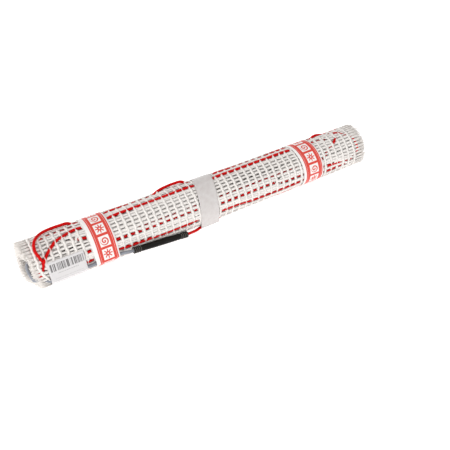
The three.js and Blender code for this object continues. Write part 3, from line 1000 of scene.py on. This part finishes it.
# How unevenly the yarns lie, in mm, and how their width varies, as a share.
WEFT_STRAY, WEFT_WOBBLE, WARP_STRAY, WIDTH_SPREAD = 0.25, 0.16, 0.04, 0.06
PAIR_LIFT, PAIR_SWING = 0.2, 0.15


def even_lift(x, angle, lift):
    """The lift of a yarn before it makes room for the cables."""
    return lift + waviness(x, angle) + swell(x, angle) - waist(x, angle)


def wefts(strands, cables, first, last, stations, warp_x):
    """The axial yarns from one turn to another. Gives where their stations lie."""
    turns = spiral(first, last, WEFTS_A_TURN)[:-1, None]
    shape = (len(turns), len(stations))
    beside = rng.normal(0, WEFT_STRAY, (shape[0], 1)) + rng.normal(0, WEFT_WOBBLE, shape)
    beside = beside + drift(turns, stations, FREE_EDGE - 360 * turns)
    x, angle, lift = place(turns, np.broadcast_to(stations, shape), beside, 0)
    angle, lift, drawn_thin = cables.part(x, angle, even_lift(x, angle, lift), first)
    pinched = np.isclose(stations[:, None], warp_x[None]).any(1)
    width = np.where(pinched, WEFT_PINCH, WEFT_WIDTH) * (1 + rng.normal(0, WIDTH_SPREAD, shape))
    width = width * (1 if first == 0 else INNER_WEFT) * np.where(drawn_thin, THIN_WEFT, 1)
    width = width * (1 - (1 - OPEN_WEFT) * openness(x, angle))
    strands.add(on_roll(x, angle, lift), outward(angle), width / 2, WEFT_HEIGHT / 2, LENS)
    return x, angle, lift


def warps(strands, cables, first, last, warp_x, steps_a_weft):
    """The pairs of yarns round the roll, which cross between the wefts."""
    turns = spiral(first, last, WEFTS_A_TURN * steps_a_weft)
    share = turns * WEFTS_A_TURN
    for over in (1, -1):
        swing = WARP_SWING * over * np.cos(np.pi * share)
        shape = (len(warp_x), len(turns))
        stray = np.cumsum(rng.normal(0, WARP_STRAY, shape), axis=1)
        x, angle, lift = place(turns, warp_x[:, None] + swing + stray, 0, 0)
        weave = over * (PAIR_LIFT + PAIR_SWING * np.cos(2 * np.pi * share))
        lift = even_lift(x, angle, lift) + weave
        lift, drawn_thin = cables.cross(x, angle, lift, over, first)
        width = WARP_WIDTH * np.where(drawn_thin, OVER_CABLE, 1)
        strands.add(on_roll(x, angle, lift), outward(angle), width / 2, WARP_HEIGHT / 2, LENS)


# Where the cut ends at the left lie: angles, and x there for the outer and the inner turns.
LEFT_TIP_ANGLES = (0, 45, 70, 90, 103, 115, 125, 158, 173, 187, 202, 235, 270, 310, 360)
OUTER_LEFT_TIPS = (-248, -249, -250, -253, -252, -247, -243, -243, -242, -240, -238, -237, -239, -244, -248)
INNER_LEFT_TIPS = (-251, -250, -249, -249, -247, -244, -243, -243, -243, -243, -244, -249, -252, -252, -251)
RIGHT_TIPS = 251.5
OUTER_DOWN_TO, INNER_BY = -2, 12

# The filaments of a cut end: where they start across the yarn, their width at both ends, their
# height, how much their length and direction vary, and how they fan out.
FILAMENTS = np.array([-1.25, -0.75, -0.25, 0.25, 0.75, 1.25])
FILAMENT_WIDTHS, FILAMENT_HEIGHT, FILAMENT_STATIONS = (0.84, 0.6), 0.44, 5
TIP_STRAY, SIDE_STRAY, FLARE = 1.7, 0.6, 0.5
FAN_FROM, FAN_BY = 0.9, 0.3


def fringe(strands, x, angle, lift, end):
    """The wefts' cut ends as loose filaments, from where they leave the mesh."""
    start = np.tile(FILAMENTS, len(x))[:, None]
    x, angle, lift = (np.repeat(v, len(FILAMENTS))[:, None] for v in (x, angle, lift))
    if end < 0:
        outer, inner = (np.interp(angle % 360, LEFT_TIP_ANGLES, tips)
                        for tips in (OUTER_LEFT_TIPS, INNER_LEFT_TIPS))
        tip = outer + (inner - outer) * np.clip((OUTER_DOWN_TO - lift) / INNER_BY, 0, 1)
    else:
        tip = np.full_like(x, RIGHT_TIPS)
    tip = tip + rng.normal(0, TIP_STRAY, x.shape)
    share = np.linspace(0, 1, FILAMENT_STATIONS)
    spread = start * (FAN_FROM + FAN_BY * share) + rng.normal(0, SIDE_STRAY, x.shape) * share**2
    flare = rng.normal(0, FLARE, x.shape) * share**2
    path_x = x + (tip - x) * share
    path_angle = angle + np.degrees(spread / MEAN_RADIUS)
    half_width = np.linspace(*FILAMENT_WIDTHS, FILAMENT_STATIONS) / 2
    strands.add(on_roll(path_x, path_angle, lift + flare), outward(path_angle),
                half_width, FILAMENT_HEIGHT / 2, LENS)


# How far along a weft goes on past the last warp, how far from a warp it is at full width again,
# and how close to the floor a yarn comes.
PAST_LAST_WARP, PINCH_REACH = 2.5, 3.2
FLOOR_GAP = 0.02


def mesh_turn(number, cables):
    """One whole turn of the mesh, with its cut ends; turn 0 is the outermost."""
    strands = Strands()
    shift = 0.5 * number + 0.3 * math.sin(2.4 * number)
    warp_x = WARP_X + WARP_PITCH * np.arange(-WARPS_EACH_WAY, WARPS_EACH_WAY) + shift
    near_warps = np.ravel(warp_x[:, None] + (-PINCH_REACH, 0, PINCH_REACH))
    stations = np.concatenate([[warp_x[0] - PAST_LAST_WARP], near_warps[1:]])
    x, angle, lift = wefts(strands, cables, number, number + 1, stations, warp_x)
    for column, end in ((0, -1), (-1, 1)):
        fringe(strands, x[:, column], angle[:, column], lift[:, column], end)
    warps(strands, cables, number, number + 1, warp_x, 4 if number == 0 else 2)
    node = ["mesh_roll"] if number == 0 else ()
    strands.build(f"mesh_turn_{number + 1}", YARN, "mesh", node, FLOOR_GAP)


BORE_TURNS = (MEAN_RADIUS + OUTER_LIFT - BORE_RADIUS) / TURN_PITCH
SHOWN_DEPTH = 18.0


def mesh_end(name, end, cables):
    """The inner turns, made only where they show at an end of the roll."""
    strands = Strands()
    last = WARP_X + WARP_PITCH * (-WARPS_EACH_WAY if end < 0 else WARPS_EACH_WAY - 1)
    warp_x = np.array([last - end * WARP_PITCH, last])
    stations = last - end * np.array([SHOWN_DEPTH, WARP_PITCH, WARP_PITCH / 2, 0, -PAST_LAST_WARP])
    if end < 0:
        stations = stations[::-1]
    x, angle, lift = wefts(strands, cables, FULL_TURNS, BORE_TURNS, stations, warp_x)
    column = 0 if end < 0 else -1
    fringe(strands, x[:, column], angle[:, column], lift[:, column], end)
    warps(strands, cables, FULL_TURNS, BORE_TURNS, warp_x, 2)
    strands.build(name, YARN, "mesh", (), FLOOR_GAP)


INSIDE_END, INSIDE_SIDES = 222, 72
BELOW_LAST_TURN, WALL, WALL_GAP = 0.6, 0.25, 0.05


def inside():
    """What lies below the turns that are made one by one, painted near-black brown as the shade deep in the
    roll, and the innermost turn round the bore.
    """
    outer = MEAN_RADIUS + mesh_lift(FULL_TURNS) - BELOW_LAST_TURN
    wall = BORE_RADIUS + WALL
    sides = INSIDE_SIDES
    angles = np.arange(sides) * 360 / sides
    for name, low, high, paint in (("roll_inside_painted_shade", wall + WALL_GAP, outer, PAINTED_SHADE_CORE),
                                   ("roll_bore", BORE_RADIUS, wall, BORE_WALL)):
        points = []
        for x, r in ((-INSIDE_END, low), (-INSIDE_END, high), (INSIDE_END, high), (INSIDE_END, low)):
            scale = radius_at(x) / MEAN_RADIUS
            points.append(on_roll(x, angles, r * scale - radius_at(x)))
        index = np.arange(len(points) * sides).reshape(-1, sides)
        a, b = index, np.roll(index, -1, 0)
        quads = np.stack([a, np.roll(a, -1, 1), np.roll(b, -1, 1), b], -1).reshape(-1, 4)
        build(name, np.array(points), [quads], paint)


cable_map = CableMap(cords())
sleeve()
LEAD_OVER = (LEAD_ANGLE, LEAD_LIFT, LEAD_RADIUS)
TAIL_OVER = (TAIL_ANGLE, TAIL_LIFT, CABLE_RADIUS)
tape("left_tape", LEFT_TAPE, LEFT_PRINT, "printed_tape", "tape_left", LEAD_OVER)
tape("middle_tape", MIDDLE_TAPE, CLEAR, "clear_tape", "tape_middle", TAIL_OVER)
tape("right_tape", RIGHT_TAPE, RIGHT_PRINT, "printed_tape", "tape_right", None)
label()
for turn_number in range(FULL_TURNS):
    mesh_turn(turn_number, cable_map)
mesh_end("mesh_end_left", -1, cable_map)
mesh_end("mesh_end_right", 1, cable_map)
inside()
